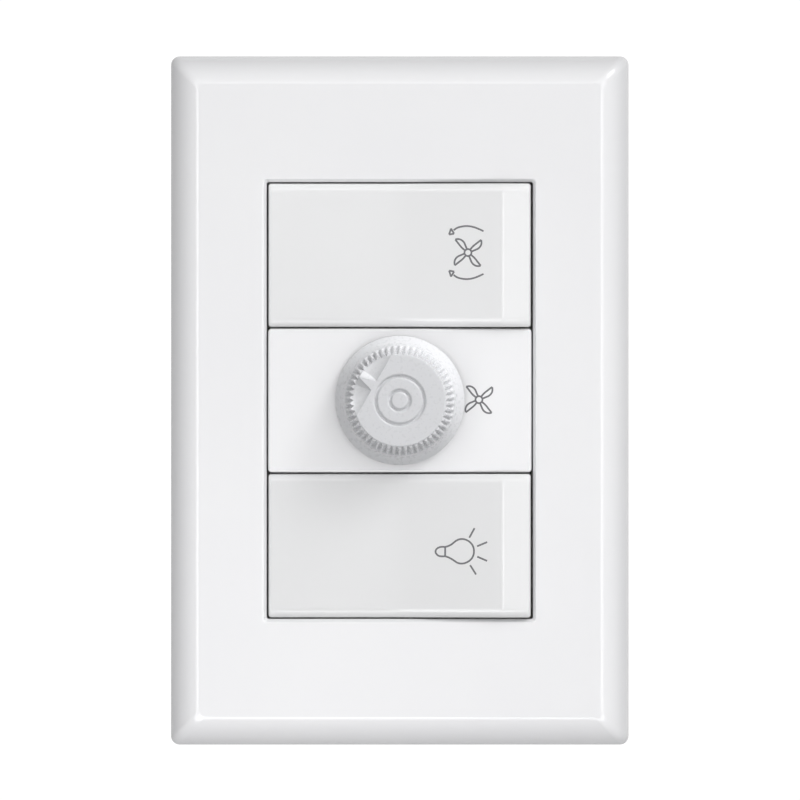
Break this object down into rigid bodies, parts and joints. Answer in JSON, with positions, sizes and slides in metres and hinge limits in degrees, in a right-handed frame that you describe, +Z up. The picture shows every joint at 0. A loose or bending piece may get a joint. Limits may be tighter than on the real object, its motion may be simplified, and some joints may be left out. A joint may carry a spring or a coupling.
{
  "type": "fan speed control switch",
  "caption": "Rectangular wall plate with a rotary fan speed knob between two horizontal rocker keys, one for reversing the fan and one for its light, on a clip-in module frame.",
  "frame": {"origin": "centre of the wall plate on the wall plane, midway between the two box screws", "axes": "+X to the right seen from the room, +Y into the wall, +Z up along the plate"},
  "size_m": [0.079, 0.0463, 0.1186],
  "materials": {
    "plate_plastic": "glossy white moulded plastic",
    "key_plastic": "glossy white moulded plastic",
    "sign_ink": "grey printed ink of the signs",
    "knob_plastic": "satin white moulded plastic",
    "frame_plastic": "matt off-white moulded plastic",
    "box_plastic": "matt white moulded plastic",
    "inner_plastic": "matt natural plastic",
    "zinc_steel": "zinc plated steel",
    "spring_steel": "drawn steel wire",
    "contact_brass": "pressed brass",
    "board_laminate": "green circuit board laminate",
    "ferrite": "dark ferrite",
    "copper_wire": "enamelled copper wire",
    "capacitor_case": "moulded capacitor case",
    "black_epoxy": "black epoxy",
    "sink_aluminium": "bent aluminium sheet",
    "resistor_lacquer": "lacquered resistor body",
    "fuse_glass": "clear glass"
  },
  "bodies": {
    "control_body": {"cover_plate": "plate_plastic", "support_frame": "frame_plastic", "mounting_screws": "zinc_steel", "reversing_housing": "box_plastic", "reversing_bridge": "inner_plastic", "reversing_fork": "contact_brass", "reversing_fixed_contacts": "contact_brass", "reversing_terminals": "contact_brass", "reversing_terminal_screws": "zinc_steel", "light_housing": "box_plastic", "light_bridge": "inner_plastic", "light_fork": "contact_brass", "light_fixed_contacts": "contact_brass", "light_terminals": "contact_brass", "light_terminal_screws": "zinc_steel", "control_faceplate": "key_plastic", "control_housing": "box_plastic", "circuit_board": "board_laminate", "potentiometer_case": "zinc_steel", "potentiometer_track": "inner_plastic", "bushing_nut": "zinc_steel", "choke_core": "ferrite", "choke_winding": "copper_wire", "film_capacitor": "capacitor_case", "heat_sink": "sink_aluminium", "triac": "black_epoxy", "triac_rivet": "sink_aluminium", "resistors": "resistor_lacquer", "fuse_tube": "fuse_glass", "fuse_caps": "zinc_steel", "control_straps": "contact_brass", "control_terminals": "contact_brass", "control_terminal_screws": "zinc_steel"},
    "knob": {"speed_knob": "knob_plastic", "potentiometer_shaft": "zinc_steel"},
    "reversing_rocker": {"reversing_key": "key_plastic", "reversing_plunger": "inner_plastic", "reversing_spring": "spring_steel"},
    "reversing_contact": {"reversing_seesaw": "contact_brass"},
    "light_rocker": {"light_key": "key_plastic", "light_plunger": "inner_plastic", "light_spring": "spring_steel"},
    "light_contact": {"light_seesaw": "contact_brass"}
  },
  "joints": [
    {"name": "reversing_rocker_tilt", "type": "hinge", "parent": "control_body", "child": "reversing_rocker", "pos_m": [0, -0.0046, 0.025], "axis": [0, 0, 1], "range_deg": [0, 7]},
    {"name": "reversing_contact_swing", "type": "hinge", "parent": "control_body", "child": "reversing_contact", "pos_m": [0, 0.0075, 0.025], "axis": [0, 0, 1], "range_deg": [-18, 0]},
    {"name": "light_rocker_tilt", "type": "hinge", "parent": "control_body", "child": "light_rocker", "pos_m": [0, -0.0046, -0.025], "axis": [0, 0, 1], "range_deg": [0, 7]},
    {"name": "light_contact_swing", "type": "hinge", "parent": "control_body", "child": "light_contact", "pos_m": [0, 0.0075, -0.025], "axis": [0, 0, 1], "range_deg": [-18, 0]},
    {"name": "knob_turn", "type": "hinge", "parent": "control_body", "child": "knob", "pos_m": [0, -0.009, 0], "axis": [0, 1, 0], "range_deg": [-75, 195]}
  ],
  "couplings": [
    {"joint": "reversing_contact_swing", "follows": "reversing_rocker_tilt", "ratio": -2.5714},
    {"joint": "light_contact_swing", "follows": "light_rocker_tilt", "ratio": -2.5714}
  ]
}
